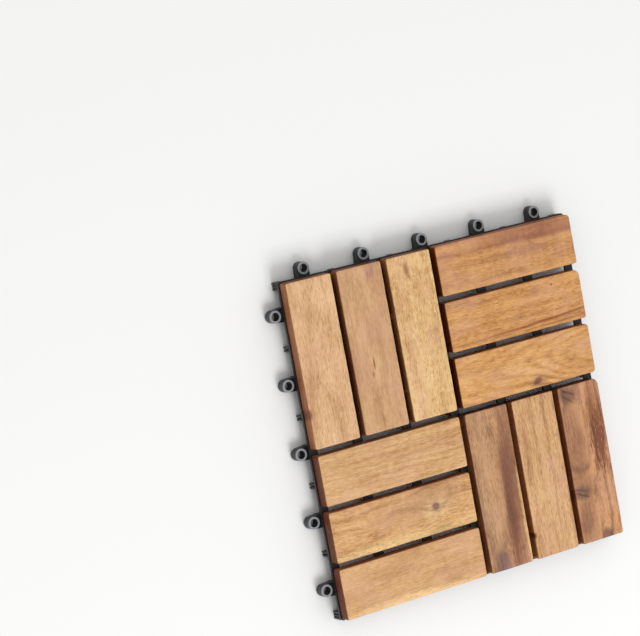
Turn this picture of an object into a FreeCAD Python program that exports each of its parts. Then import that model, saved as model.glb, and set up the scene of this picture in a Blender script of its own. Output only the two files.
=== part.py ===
# Interlocking deck tile: twelve acacia slats in four quadrants, screwed from below to one moulded
# base, whose loops and pins link it to the tiles around it.
# Millimetres. X and Y run along the tile's edges, Z is up, and the origin is at the middle of
# the tile's square on the plane of its feet. Loops stand out on the left (-X) and rear (+Y)
# sides, pins hang under the right (+X) and front (-Y) sides.

import FreeCAD, Part

import math
import os

import Sketcher

SIZES = [
    ("slat_width", 45.0, "width of a slat"),
    ("slat_gap", 5.0, "gap between slats, and between the slats of two linked tiles"),
    ("slats_per_quadrant", 3, "slats side by side in a quadrant"),
    ("slat_thickness", 11.0, "thickness of a slat"),
    ("slat_edge_round", 1.4, "rounding of a slat's top edges"),
    ("slat_base_chamfer", 0.8, "chamfer of a slat's lower edges"),
    ("slat_corner_round", 2.2, "rounding of a slat's corner seen from above"),
    ("eased_corner_round", 3.6, "the same where a corner is rubbed down"),
    ("worn_corner_round", 6.5, "the same where a corner is worn away"),
    ("leg_height", 10.5, "free height under the base's deck"),
    ("band_thickness", 2.5, "thickness of the base's deck, its band and strips"),
    ("band_width", 8.0, "width of the band round the base"),
    ("band_proud", 1.0, "from the slats' outer faces out to the band's edge"),
    ("band_corner_round", 3.0, "rounding of the band's corners"),
    ("long_strip_width", 9.0, "width of the strips under the slat joints"),
    ("cross_strip_width", 5.0, "width of the strips across them"),
    ("rib_thickness", 2.0, "thickness of the rib under a long strip"),
    ("rib_depth", 3.0, "depth of the rib under a long strip"),
    ("rib_setback", 5.0, "room left beside the band for the next tile's loops"),
    ("fastener_count", 5, "loops, or pins, along one side"),
    ("pin_inset", 3.5, "from the band's edge in to the middle of a pin"),
    ("pin_radius", 3.3, "radius of a pin"),
    ("pin_tip_radius", 2.5, "radius of a pin's tapered tip"),
    ("pin_taper_length", 1.6, "length of that taper"),
    ("pin_ground_gap", 0.8, "from a pin's tip to the ground"),
    ("loop_clearance", 0.4, "radial clearance of a pin in a loop"),
    ("loop_wall", 1.8, "wall of a loop round its bore"),
    ("loop_drop", 0.5, "from the next tile's band down to the loop that it covers"),
    ("loop_ground_gap", 1.0, "from a loop's lower face to the ground"),
    ("lug_width", 12.0, "width of a loop's lug where it meets the band"),
    ("lug_step", 1.2, "from a loop's upper face down to its lug's"),
    ("lug_wall", 1.8, "wall of the hollow post behind a loop"),
    ("post_inset", 0.5, "from the band's edges in to the posts under it"),
    ("twin_rib_thickness", 1.7, "thickness of each rib of a twin post"),
    ("twin_rib_gap", 1.2, "gap between the two ribs of a twin post"),
    ("flute_width", 1.1, "width of a flute in a corner post"),
    ("flute_depth", 1.2, "depth of a flute in a corner post"),
    ("leg_radius", 3.0, "radius of an inner leg at the deck"),
    ("leg_tip_radius", 2.2, "radius of an inner leg where its tip starts"),
    ("centre_leg_radius", 4.0, "radius of the middle leg at the deck"),
    ("centre_leg_tip_radius", 3.2, "radius of the middle leg where its tip starts"),
    ("leg_tip_height", 1.2, "height of the tapered tip of an inner leg"),
    ("leg_foot_share", 0.5, "radius of an inner leg's flat foot, as a share of its tip's"),
    ("screw_shank_radius", 1.75, "radius of a screw's shank"),
    ("screw_head_radius", 3.5, "radius of a screw's head"),
    ("screw_head_height", 2.0, "height of a screw's head"),
    ("screw_head_rim", 0.8, "height of the straight rim of a screw's head"),
    ("screw_head_flat", 2.1, "radius of the flat on a screw's head"),
    ("screw_bite", 6.5, "length of a screw inside its slat"),
    ("screw_point", 2.0, "length of a screw's point"),
    ("recess_span", 3.6, "span of the cross recess in a screw's head"),
    ("recess_slot", 1.0, "width of each slot of the cross recess"),
    ("recess_depth", 1.1, "depth of the cross recess"),
    ("screw_clearance", 0.35, "radial clearance of a screw in its boss"),
    ("pilot_clearance", 0.05, "radial clearance of a screw in its slat"),
    ("pilot_depth_spare", 0.8, "depth of a slat's hole past the screw's point"),
    ("boss_radius", 4.5, "radius of a screw boss"),
    ("boss_proud", 0.5, "from the ribs down to the face of a boss"),
]

# Lengths that follow from the sizes, as expressions on the sheet.
SLAT_PITCH = "(Sizes.slat_width + Sizes.slat_gap)"
QUADRANT = f"(Sizes.slats_per_quadrant * {SLAT_PITCH})"
SLAT_LENGTH = f"({QUADRANT} - Sizes.slat_gap)"
DECK_TOP = "(Sizes.leg_height + Sizes.band_thickness)"
BAND_OUTER = f"({QUADRANT} - Sizes.slat_gap / 2 + Sizes.band_proud)"
BAND_INNER = f"({BAND_OUTER} - Sizes.band_width)"
RIB_END = f"({BAND_INNER} - Sizes.rib_setback)"
FASTENER_PITCH = f"(2 * {QUADRANT} / Sizes.fastener_count)"
FIRST_FASTENER = f"(-(Sizes.fastener_count - 1) / 2 * {FASTENER_PITCH})"
PIN_CENTRE = f"({BAND_OUTER} - Sizes.pin_inset)"
LOOP_CENTRE = f"(2 * {QUADRANT} - {PIN_CENTRE})"
BORE_RADIUS = "(Sizes.pin_radius + Sizes.loop_clearance)"
LOOP_TOP = "(Sizes.leg_height - Sizes.loop_drop)"
BOSS_FACE = "(Sizes.leg_height - Sizes.rib_depth - Sizes.boss_proud)"
DRILL_RADIUS = "(Sizes.screw_shank_radius + Sizes.screw_clearance)"
LONG_STRIPS = "(2 * Sizes.slats_per_quadrant - 1)"
FIRST_LONG = f"(-({LONG_STRIPS} - 1) / 2 * {SLAT_PITCH})"
CROSS_STRIPS = "(4 * Sizes.slats_per_quadrant - 2)"
CROSS_PITCH = f"({SLAT_PITCH} / 2)"
FIRST_CROSS = f"(-({CROSS_STRIPS} - 1) / 2 * {CROSS_PITCH})"
# Where the screws of a slat stand along it, from the tile's middle: on the first and last long
# strip that the slat crosses, or on the second and last but one cross strip.
LONG_SCREWS = (f"({SLAT_PITCH})", f"({QUADRANT} - {SLAT_PITCH})")
SECOND_CROSS = f"({CROSS_PITCH} * 3 / 2)"
CROSS_SCREWS = (SECOND_CROSS, f"({QUADRANT} - {SECOND_CROSS})")

# Each slat: name, the quadrant's side in X and Y, the axis that it runs along, its place in the
# quadrant counted outwards from the tile's middle, and the sizes that round its corners where
# they differ from the rest: the corners are numbered from the lower left, anticlockwise, as they
# lie in the tile.
SLATS = [
    ("slat_rear_left_1", -1, 1, "Y", 2, {}),
    ("slat_rear_left_2", -1, 1, "Y", 1, {}),
    ("slat_rear_left_3", -1, 1, "Y", 0, {}),
    ("slat_rear_right_1", 1, 1, "X", 2, {2: "eased_corner_round"}),
    ("slat_rear_right_2", 1, 1, "X", 1, {2: "worn_corner_round"}),
    ("slat_rear_right_3", 1, 1, "X", 0, {1: "eased_corner_round", 2: "eased_corner_round"}),
    ("slat_front_left_1", -1, -1, "X", 0, {}),
    ("slat_front_left_2", -1, -1, "X", 1, {}),
    ("slat_front_left_3", -1, -1, "X", 2, {}),
    ("slat_front_right_1", 1, -1, "Y", 0, {}),
    ("slat_front_right_2", 1, -1, "Y", 1, {}),
    ("slat_front_right_3", 1, -1, "Y", 2, {2: "worn_corner_round"}),
]

doc = FreeCAD.newDocument("DeckTile")


def fill_sheet():
    """Writes the driving dimensions, each with its name and what it is."""
    sheet = doc.addObject("Spreadsheet::Sheet", "Sizes")
    for row, (alias, value, words) in enumerate(SIZES, start=1):
        sheet.set(f"A{row}", words)
        sheet.set(f"B{row}", str(value))
        sheet.setAlias(f"B{row}", alias)
    doc.recompute()


def new_body(label):
    """An empty body, which will be one piece of the tile."""
    body = doc.addObject("PartDesign::Body", label)
    body.Label = label
    return body


def origin_feature(body, role):
    """The plane or axis of the body's own origin that has this role."""
    for feature in body.Origin.OriginFeatures:
        if feature.Role == role:
            return feature
    raise ValueError(role)


def new_sketch(body, name, plane="XY_Plane", place=("0", "0", "0")):
    """A sketch on an origin plane, moved by an offset along the plane's own axes."""
    sketch = body.newObject("Sketcher::SketchObject", name)
    sketch.AttachmentSupport = [(origin_feature(body, plane), "")]
    sketch.MapMode = "FlatFace"
    for axis, offset in zip("xyz", place):
        sketch.setExpression(f"AttachmentOffset.Base.{axis}", offset)
    return sketch


def number(sketch, expression):
    """What an expression on the sheet comes to now."""
    return float(sketch.evalExpression(expression))


def bind(sketch, kind, references, expression):
    """Adds a constraint whose value follows the sheet."""
    value = number(sketch, expression)
    index = sketch.addConstraint(Sketcher.Constraint(kind, *references, value))
    sketch.setExpression(f"Constraints[{index}]", expression)


def pin_point(sketch, curve, end, x, y):
    """Holds the end of a curve at a place given by two expressions."""
    bind(sketch, "DistanceX", (-1, 1, curve, end), x)
    bind(sketch, "DistanceY", (-1, 1, curve, end), y)


def draw_outline(sketch, points):
    """A closed outline of straight lines through points that follow the sheet."""
    places = [FreeCAD.Vector(number(sketch, x), number(sketch, y), 0) for x, y in points]
    first = sketch.GeometryCount
    for index, place in enumerate(places):
        following = places[(index + 1) % len(places)]
        sketch.addGeometry(Part.LineSegment(place, following), False)
    for index, (x, y) in enumerate(points):
        before = first + (index - 1) % len(points)
        sketch.addConstraint(Sketcher.Constraint("Coincident", before, 2, first + index, 1))
        pin_point(sketch, first + index, 1, x, y)


def draw_rectangle(sketch, low_x, low_y, high_x, high_y):
    """A rectangle between two corners that follow the sheet."""
    draw_outline(sketch, [(low_x, low_y), (high_x, low_y), (high_x, high_y), (low_x, high_y)])


def draw_circle(sketch, x, y, radius):
    """A circle whose centre and radius follow the sheet."""
    centre = FreeCAD.Vector(number(sketch, x), number(sketch, y), 0)
    circle = sketch.addGeometry(
        Part.Circle(centre, FreeCAD.Vector(0, 0, 1), number(sketch, radius)), False)
    pin_point(sketch, circle, 3, x, y)
    bind(sketch, "Radius", (circle,), radius)


def draw_rounded_rectangle(sketch, half_x, half_y, rounds):
    """A rectangle about the sketch's origin, its corners rounded anticlockwise from lower left."""
    span = FreeCAD.Vector(number(sketch, half_x), number(sketch, half_y), 0)
    quarter = math.pi / 2
    arcs = []
    for index, (side_x, side_y) in enumerate([(-1, -1), (1, -1), (1, 1), (-1, 1)]):
        radius = number(sketch, rounds[index])
        centre = FreeCAD.Vector(side_x * (span.x - radius), side_y * (span.y - radius), 0)
        circle = Part.Circle(centre, FreeCAD.Vector(0, 0, 1), radius)
        start = (index - 2) * quarter
        arcs.append(sketch.addGeometry(Part.ArcOfCircle(circle, start, start + quarter), False))
    lines = []
    for index, arc in enumerate(arcs):
        start = sketch.getPoint(arc, 2)
        end = sketch.getPoint(arcs[(index + 1) % 4], 1)
        lines.append(sketch.addGeometry(Part.LineSegment(start, end), False))
    for index, line in enumerate(lines):
        following = arcs[(index + 1) % 4]
        sketch.addConstraint(Sketcher.Constraint("Tangent", arcs[index], 2, line, 1))
        sketch.addConstraint(Sketcher.Constraint("Tangent", line, 2, following, 1))
        sketch.addConstraint(Sketcher.Constraint(("Horizontal", "Vertical")[index % 2], line))
        bind(sketch, "Radius", (arcs[index],), rounds[index])
    bind(sketch, "DistanceY", (-1, 1, lines[0], 1), f"-{half_y}")
    bind(sketch, "DistanceX", (-1, 1, lines[1], 1), half_x)
    bind(sketch, "DistanceY", (-1, 1, lines[2], 1), half_y)
    bind(sketch, "DistanceX", (-1, 1, lines[3], 1), f"-{half_x}")


def pad(body, name, sketch, length, down=False):
    """Raises a sketch, or lets it down, to a length that follows the sheet."""
    feature = body.newObject("PartDesign::Pad", name)
    feature.Profile = sketch
    feature.Refine = False
    feature.Reversed = down
    feature.setExpression("Length", length)
    return feature


def cut(body, name, sketch, length, up=False):
    """Cuts a sketch downwards, or upwards, to a length that follows the sheet."""
    feature = body.newObject("PartDesign::Pocket", name)
    feature.Profile = sketch
    feature.Refine = False
    feature.Reversed = up
    feature.setExpression("Length", length)
    return feature


def turn(body, name, sketch):
    """Turns a sketch about its own upright axis."""
    feature = body.newObject("PartDesign::Revolution", name)
    feature.Profile = sketch
    feature.Refine = False
    feature.ReferenceAxis = (sketch, ["V_Axis"])
    feature.Angle = 360
    return feature


def row_step(body, name, axis, count, pitch, backwards=False):
    """Copies in a row along an axis of the body."""
    step = body.newObject("PartDesign::LinearPattern", name)
    step.Direction = (origin_feature(body, f"{axis}_Axis"), [""])
    step.Mode = "Spacing"
    step.Reversed = backwards
    step.setExpression("Occurrences", count)
    step.setExpression("Offset", pitch)
    return step


def round_step(body, name, count, angle, clockwise=False):
    """Copies about the tile's upright axis, spread over an angle."""
    step = body.newObject("PartDesign::PolarPattern", name)
    step.Axis = (origin_feature(body, "Z_Axis"), [""])
    step.Reversed = clockwise
    step.Occurrences = count
    step.Angle = angle
    return step


def repeat(body, name, originals, steps):
    """Applies pattern steps to features and makes the result the body's tip."""
    pattern = body.newObject("PartDesign::MultiTransform", name)
    pattern.Originals = originals
    pattern.Transformations = steps
    pattern.Refine = True
    body.Tip = pattern
    doc.recompute()
    return pattern


def make_band():
    """The flat band round the base."""
    body = new_body("edge_band")
    sketch = new_sketch(body, "band_sketch", place=("0", "0", DECK_TOP))
    draw_rounded_rectangle(sketch, BAND_OUTER, BAND_OUTER, ["Sizes.band_corner_round"] * 4)
    draw_rectangle(sketch, f"-{BAND_INNER}", f"-{BAND_INNER}", BAND_INNER, BAND_INNER)
    pad(body, "band", sketch, "Sizes.band_thickness", down=True)
    return body


def make_strips():
    """The lattice inside the band: long strips with ribs, and flat cross strips."""
    body = new_body("strip_grid")
    add_long_strips(body)
    add_cross_strips(body)
    drills = new_sketch(body, "drill_sketch", place=("0", "0", DECK_TOP))
    for x, y in screw_places():
        draw_circle(drills, x, y, DRILL_RADIUS)
    drilled = cut(body, "strip_drills", drills, f"({DECK_TOP} - {BOSS_FACE})")
    drilled.Refine = True
    return body


def add_long_strips(body):
    """Strips under the slat joints that run front to rear, each with a rib below."""
    strip = new_sketch(body, "long_strip_sketch", place=(FIRST_LONG, "0", DECK_TOP))
    half = "(Sizes.long_strip_width / 2)"
    draw_rectangle(strip, f"-{half}", f"-{BAND_INNER}", half, BAND_INNER)
    rib = new_sketch(body, "long_rib_sketch", place=(FIRST_LONG, "0", "Sizes.leg_height"))
    half = "(Sizes.rib_thickness / 2)"
    draw_rectangle(rib, f"-{half}", f"-{RIB_END}", half, RIB_END)
    originals = [
        pad(body, "long_strip", strip, "Sizes.band_thickness", down=True),
        pad(body, "long_rib", rib, "Sizes.rib_depth", down=True),
    ]
    repeat(body, "long_strips", originals,
           [row_step(body, "long_row", "X", LONG_STRIPS, SLAT_PITCH)])


def add_cross_strips(body):
    """Flat strips from side to side, two under each slat that runs the same way."""
    sketch = new_sketch(body, "cross_strip_sketch", place=("0", FIRST_CROSS, DECK_TOP))
    half = "(Sizes.cross_strip_width / 2)"
    draw_rectangle(sketch, f"-{BAND_INNER}", f"-{half}", BAND_INNER, half)
    strip = pad(body, "cross_strip", sketch, "Sizes.band_thickness", down=True)
    repeat(body, "cross_strips", [strip],
           [row_step(body, "cross_row", "Y", CROSS_STRIPS, CROSS_PITCH)])


def draw_leg(sketch, radius, tip_radius):
    """Half the profile of a tapered round leg with a narrower tip and a flat foot."""
    root = "(Sizes.leg_height + Sizes.band_thickness / 2)"
    draw_outline(sketch, [
        ("0", "0"),
        (f"({tip_radius} * Sizes.leg_foot_share)", "0"),
        (tip_radius, "Sizes.leg_tip_height"),
        (radius, "Sizes.leg_height"),
        (radius, root),
        ("0", root),
    ])


def make_inner_legs():
    """Legs under the crossings of the strips, on every second cross strip, and one in the middle."""
    body = new_body("inner_legs")
    sketch = new_sketch(body, "centre_leg_sketch", "XZ_Plane")
    draw_leg(sketch, "Sizes.centre_leg_radius", "Sizes.centre_leg_tip_radius")
    turn(body, "centre_leg", sketch)

    sketch = new_sketch(body, "leg_sketch", "XZ_Plane", (FIRST_LONG, "0", f"-{FIRST_CROSS}"))
    draw_leg(sketch, "Sizes.leg_radius", "Sizes.leg_tip_radius")
    leg = turn(body, "leg", sketch)
    half_pitch = f"({LONG_STRIPS} * {CROSS_PITCH})"
    repeat(body, "legs", [leg], [
        row_step(body, "leg_row_x", "X", LONG_STRIPS, SLAT_PITCH),
        row_step(body, "leg_row_y", "Y", "Sizes.slats_per_quadrant", SLAT_PITCH),
        row_step(body, "leg_halves", "Y", "2", half_pitch),
    ])
    return body


def make_corner_posts():
    """A fluted post under each corner of the band."""
    body = new_body("corner_posts")
    outer = f"({BAND_OUTER} - Sizes.post_inset)"
    inner = f"({BAND_INNER} + Sizes.post_inset)"
    floor = f"({outer} - Sizes.flute_depth)"
    edges = []
    for third in (1, 2):
        middle = f"({inner} + {third} / 3 * ({outer} - {inner}))"
        edges.append(f"({middle} - Sizes.flute_width / 2)")
        edges.append(f"({middle} + Sizes.flute_width / 2)")
    right_side = [(outer, edges[0]), (floor, edges[0]), (floor, edges[1]), (outer, edges[1]),
                  (outer, edges[2]), (floor, edges[2]), (floor, edges[3]), (outer, edges[3])]
    rear_side = [(y, x) for x, y in reversed(right_side)]
    corner = new_sketch(body, "corner_post_sketch", place=("0", "0", "Sizes.leg_height"))
    draw_outline(corner, [(inner, inner), (outer, inner), *right_side, (outer, outer),
                          *rear_side, (inner, outer)])
    post = pad(body, "corner_post", corner, "Sizes.leg_height", down=True)
    repeat(body, "corner_post_ring", [post], [round_step(body, "corner_turn", 4, 360)])
    return body


def make_twin_posts():
    """Posts of two thin ribs midway between the fasteners, under all four sides."""
    body = new_body("twin_posts")
    outer = f"({BAND_OUTER} - Sizes.post_inset)"
    inner = f"({BAND_INNER} + Sizes.post_inset)"
    twin = new_sketch(body, "twin_post_sketch",
                      place=("0", f"({FIRST_FASTENER} + {FASTENER_PITCH} / 2)", "Sizes.leg_height"))
    near = "(Sizes.twin_rib_gap / 2)"
    far = "(Sizes.twin_rib_gap / 2 + Sizes.twin_rib_thickness)"
    draw_rectangle(twin, inner, near, outer, far)
    draw_rectangle(twin, inner, f"-{far}", outer, f"-{near}")
    post = pad(body, "twin_post", twin, "Sizes.leg_height", down=True)
    repeat(body, "twin_post_rows", [post], [
        row_step(body, "twin_row", "Y", "Sizes.fastener_count - 1", FASTENER_PITCH),
        round_step(body, "twin_turn", 4, 360),
    ])
    return body


def make_pins():
    """Round pins with tapered tips under the right and front sides of the band."""
    body = new_body("link_pins")
    sketch = new_sketch(body, "pin_sketch", "XZ_Plane", (PIN_CENTRE, "0", f"-{FIRST_FASTENER}"))
    root = "(Sizes.leg_height + Sizes.band_thickness / 2)"
    draw_outline(sketch, [
        ("0", "Sizes.pin_ground_gap"),
        ("Sizes.pin_tip_radius", "Sizes.pin_ground_gap"),
        ("Sizes.pin_radius", "(Sizes.pin_ground_gap + Sizes.pin_taper_length)"),
        ("Sizes.pin_radius", root),
        ("0", root),
    ])
    pin = turn(body, "pin", sketch)
    repeat(body, "pins", [pin], [
        row_step(body, "pin_row", "Y", "Sizes.fastener_count", FASTENER_PITCH),
        round_step(body, "pin_turn", 2, 90, clockwise=True),
    ])
    return body


def make_loops():
    """Loops on lugs, each in front of a hollow post, on the left and rear sides."""
    body = new_body("link_loops")
    outer = f"(-({BAND_OUTER} - Sizes.post_inset))"
    inner = f"(-({BAND_INNER} + Sizes.post_inset))"
    half = "(Sizes.lug_width / 2)"
    wall = "Sizes.lug_wall"
    root = new_sketch(body, "loop_post_sketch", place=("0", FIRST_FASTENER, "Sizes.leg_height"))
    draw_rectangle(root, outer, f"-{half}", inner, half)
    draw_rectangle(root, f"({outer} + {wall})", f"(-{half} + {wall})",
                   f"({inner} - {wall})", f"({half} - {wall})")
    post = pad(body, "loop_post", root, "Sizes.leg_height", down=True)

    lug_top = f"({LOOP_TOP} - Sizes.lug_step)"
    lug = new_sketch(body, "lug_sketch", place=("0", FIRST_FASTENER, lug_top))
    centre = f"(-{LOOP_CENTRE})"
    radius = f"({BORE_RADIUS} + Sizes.loop_wall)"
    seat = f"({outer} + {wall} / 2)"
    middle = FreeCAD.Vector(number(lug, centre), 0, 0)
    reach = number(lug, radius)
    circle = Part.Circle(middle, FreeCAD.Vector(0, 0, 1), reach)
    quarter = math.pi / 2
    arc = lug.addGeometry(Part.ArcOfCircle(circle, quarter, 3 * quarter), False)
    corners = [FreeCAD.Vector(number(lug, seat), side * number(lug, half), 0) for side in (-1, 1)]
    lower = lug.addGeometry(Part.LineSegment(lug.getPoint(arc, 2), corners[0]), False)
    end = lug.addGeometry(Part.LineSegment(corners[0], corners[1]), False)
    upper = lug.addGeometry(Part.LineSegment(corners[1], lug.getPoint(arc, 1)), False)
    pin_point(lug, arc, 3, centre, "0")
    bind(lug, "Radius", (arc,), radius)
    pin_point(lug, end, 1, seat, f"-{half}")
    pin_point(lug, end, 2, seat, half)
    lug.addConstraint(Sketcher.Constraint("Coincident", lower, 2, end, 1))
    lug.addConstraint(Sketcher.Constraint("Coincident", end, 2, upper, 1))
    lug.addConstraint(Sketcher.Constraint("Tangent", arc, 2, lower, 1))
    lug.addConstraint(Sketcher.Constraint("Tangent", upper, 2, arc, 1))
    bracket = pad(body, "lug", lug, f"({lug_top} - Sizes.loop_ground_gap)", down=True)

    height = f"({LOOP_TOP} - Sizes.loop_ground_gap)"
    rim = new_sketch(body, "ring_sketch", place=("0", FIRST_FASTENER, LOOP_TOP))
    draw_circle(rim, centre, "0", radius)
    ring = pad(body, "ring", rim, height, down=True)
    bore = new_sketch(body, "bore_sketch", place=("0", FIRST_FASTENER, LOOP_TOP))
    draw_circle(bore, centre, "0", BORE_RADIUS)
    hole = cut(body, "bore", bore, height)
    repeat(body, "loops", [post, bracket, ring, hole], [
        row_step(body, "loop_row", "Y", "Sizes.fastener_count", FASTENER_PITCH),
        round_step(body, "loop_turn", 2, 90, clockwise=True),
    ])
    return body


def screw_places():
    """Where the screws stand, two to a slat, as pairs of expressions."""
    places = []
    for _, side_x, side_y, axis, place, _ in SLATS:
        across = f"(({place} + 0.5) * {SLAT_PITCH})"
        for along in LONG_SCREWS if axis == "X" else CROSS_SCREWS:
            centre = (along, across) if axis == "X" else (across, along)
            places.append((f"({side_x} * {centre[0]})", f"({side_y} * {centre[1]})"))
    return places


def make_bosses():
    """A drilled boss for every screw, from the slats' undersides down past the ribs."""
    body = new_body("screw_bosses")
    sketch = new_sketch(body, "boss_sketch", place=("0", "0", DECK_TOP))
    for x, y in screw_places():
        draw_circle(sketch, x, y, "Sizes.boss_radius")
        draw_circle(sketch, x, y, DRILL_RADIUS)
    pad(body, "boss", sketch, f"({DECK_TOP} - {BOSS_FACE})", down=True)
    return body


def make_base():
    """The moulded base: band, posts, pins, loops, lattice, legs and bosses in one piece."""
    moulding = doc.addObject("Part::MultiFuse", "base_grid")
    moulding.Shapes = [
        make_band(),
        make_corner_posts(),
        make_twin_posts(),
        make_pins(),
        make_loops(),
        make_strips(),
        make_inner_legs(),
        make_bosses(),
    ]
    moulding.Refine = True
    doc.recompute()
    return moulding


def edge_names(shape, height):
    """The names of the edges that lie wholly at one height."""
    names = []
    for index, edge in enumerate(shape.Edges, start=1):
        box = edge.BoundBox
        if abs(box.ZMin - height) < 1e-4 and abs(box.ZMax - height) < 1e-4:
            names.append(f"Edge{index}")
    return names


def make_slat(name, side_x, side_y, axis, place, corners):
    """One slat, laid over its quadrant, with two holes from below for its screws."""
    body = new_body(name)
    rounds = [f"Sizes.{corners.get(index, 'slat_corner_round')}" for index in range(4)]
    long_half = f"({SLAT_LENGTH} / 2)"
    wide_half = "(Sizes.slat_width / 2)"
    halves = (long_half, wide_half) if axis == "X" else (wide_half, long_half)
    sketch = new_sketch(body, f"{name}_sketch")
    draw_rounded_rectangle(sketch, halves[0], halves[1], rounds)
    board = pad(body, f"{name}_board", sketch, "Sizes.slat_thickness")
    doc.recompute()

    easing = body.newObject("PartDesign::Fillet", f"{name}_easing")
    easing.Base = (board, edge_names(board.Shape, number(sketch, "Sizes.slat_thickness")))
    easing.setExpression("Radius", "Sizes.slat_edge_round")
    doc.recompute()
    arris = body.newObject("PartDesign::Chamfer", f"{name}_arris")
    arris.Base = (easing, edge_names(easing.Shape, 0.0))
    arris.setExpression("Size", "Sizes.slat_base_chamfer")
    doc.recompute()

    screws = LONG_SCREWS if axis == "X" else CROSS_SCREWS
    reach = f"(({screws[1]} - {screws[0]}) / 2)"
    pilot = new_sketch(body, f"{name}_pilot_sketch")
    for side in ("-", ""):
        spot = (f"({side}{reach})", "0") if axis == "X" else ("0", f"({side}{reach})")
        draw_circle(pilot, *spot, "(Sizes.screw_shank_radius + Sizes.pilot_clearance)")
    cut(body, f"{name}_pilots", pilot, "(Sizes.screw_bite + Sizes.pilot_depth_spare)", up=True)

    along = f"({QUADRANT} / 2)"
    across = f"(({place} + 0.5) * {SLAT_PITCH})"
    centre = (along, across) if axis == "X" else (across, along)
    body.setExpression("Placement.Base.x", f"({side_x} * {centre[0]})")
    body.setExpression("Placement.Base.y", f"({side_y} * {centre[1]})")
    body.setExpression("Placement.Base.z", DECK_TOP)
    return body


def make_screw():
    """One pan-head screw, its head below and its point up, seated at the height of zero."""
    body = new_body("screw")
    sketch = new_sketch(body, "screw_sketch", "XZ_Plane")
    length = f"({DECK_TOP} - {BOSS_FACE} + Sizes.screw_bite)"
    draw_outline(sketch, [
        ("0", "(-Sizes.screw_head_height)"),
        ("Sizes.screw_head_flat", "(-Sizes.screw_head_height)"),
        ("Sizes.screw_head_radius", "(-Sizes.screw_head_rim)"),
        ("Sizes.screw_head_radius", "0"),
        ("Sizes.screw_shank_radius", "0"),
        ("Sizes.screw_shank_radius", f"({length} - Sizes.screw_point)"),
        ("0", length),
    ])
    turn(body, "screw_turned", sketch)
    doc.recompute()
    recess = new_sketch(body, "recess_sketch", place=("0", "0", "(-Sizes.screw_head_height)"))
    span = "(Sizes.recess_span / 2)"
    slot = "(Sizes.recess_slot / 2)"
    corner = [(1, 1), (-1, 1), (-1, -1), (1, -1)]
    points = []
    for index, (sign_x, sign_y) in enumerate(corner):
        tips = [(span, slot), (slot, slot), (slot, span)]
        if index % 2:
            tips.reverse()
        for x, y in tips:
            points.append((f"({sign_x} * {x})", f"({sign_y} * {y})"))
    draw_outline(recess, points)
    cut(body, "screw_recess", recess, "Sizes.recess_depth", up=True)
    doc.recompute()
    return body


def make_screws(screw):
    """The screws of all slats: one screw shown again at every boss."""
    links = []
    for index, (x, y) in enumerate(screw_places(), start=1):
        link = doc.addObject("App::Link", f"screw_{index}")
        link.LinkedObject = screw
        link.setExpression("Placement.Base.x", x)
        link.setExpression("Placement.Base.y", y)
        link.setExpression("Placement.Base.z", BOSS_FACE)
        links.append(link)
    group = doc.addObject("Part::Compound", "slat_screws")
    group.Links = links
    return group


def check_document():
    """Stops if any object of the document failed to build."""
    for item in doc.Objects:
        if "Invalid" in item.State or "Error" in item.State:
            raise RuntimeError(f"{item.Name} failed: {item.State}")


def write_pieces(pieces):
    """Checks each piece's solids and writes them to a file of the piece's name."""
    os.makedirs("parts", exist_ok=True)
    for piece in pieces:
        shape = piece.Shape
        if shape.isNull() or not shape.isValid():
            raise RuntimeError(f"{piece.Label} has no valid shape")
    for piece in pieces:
        shape = piece.Shape
        shape.exportStep(f"parts/{piece.Label}.step")
        box = shape.BoundBox
        print(f"{piece.Label}: {len(shape.Solids)} solids, {shape.Volume / 1000:.2f} cm3, "
              f"x {box.XMin:.2f} to {box.XMax:.2f}, y {box.YMin:.2f} to {box.YMax:.2f}, "
              f"z {box.ZMin:.2f} to {box.ZMax:.2f}")


fill_sheet()
base = make_base()
slats = [make_slat(*slat) for slat in SLATS]
screws = make_screws(make_screw())
doc.recompute()
check_document()
write_pieces([base, *slats, screws])
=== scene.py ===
# %% [markdown]
# # An interlocking deck tile
# Twelve oiled acacia slats lie in four quadrants on a moulded black lattice, which stands on small
# feet. Loops stand out on two sides and pins hang under the other two, so that a whole floor goes
# together without tools. The shapes come from a CAD model, exact and bare. This lesson copies each
# piece, wears it as use and a mould would, and gives it its material. Everything is in metres, in
# the CAD model's own frame.

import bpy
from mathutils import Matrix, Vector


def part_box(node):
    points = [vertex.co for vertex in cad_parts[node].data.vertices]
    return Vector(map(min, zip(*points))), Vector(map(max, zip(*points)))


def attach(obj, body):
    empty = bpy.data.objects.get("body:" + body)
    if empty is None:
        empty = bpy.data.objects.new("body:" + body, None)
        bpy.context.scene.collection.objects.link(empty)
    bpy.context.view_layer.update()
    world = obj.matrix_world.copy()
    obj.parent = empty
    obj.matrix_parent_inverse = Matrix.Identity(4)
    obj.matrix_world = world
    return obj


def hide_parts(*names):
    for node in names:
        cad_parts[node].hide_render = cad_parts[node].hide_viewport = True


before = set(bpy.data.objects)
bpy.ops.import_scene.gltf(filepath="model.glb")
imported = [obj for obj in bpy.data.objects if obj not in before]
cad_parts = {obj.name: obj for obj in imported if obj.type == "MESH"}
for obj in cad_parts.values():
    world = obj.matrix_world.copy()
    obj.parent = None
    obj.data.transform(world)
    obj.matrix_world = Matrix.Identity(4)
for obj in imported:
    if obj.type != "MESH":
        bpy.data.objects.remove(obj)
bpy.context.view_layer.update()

# %% Modules and the millimetre
import math

import bpy
from mathutils import Matrix, Vector

MM = 0.001

# %% [markdown]
# ## The camera
# The photograph was taken with a long lens, steeply from above, and the tile leans in it, so that
# the camera seems rolled. Three angles could say the same, but nobody can picture three angles. A
# place, a line of sight and a direction for the picture's right side are easy to picture, and a
# matrix takes them as they are.

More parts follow.
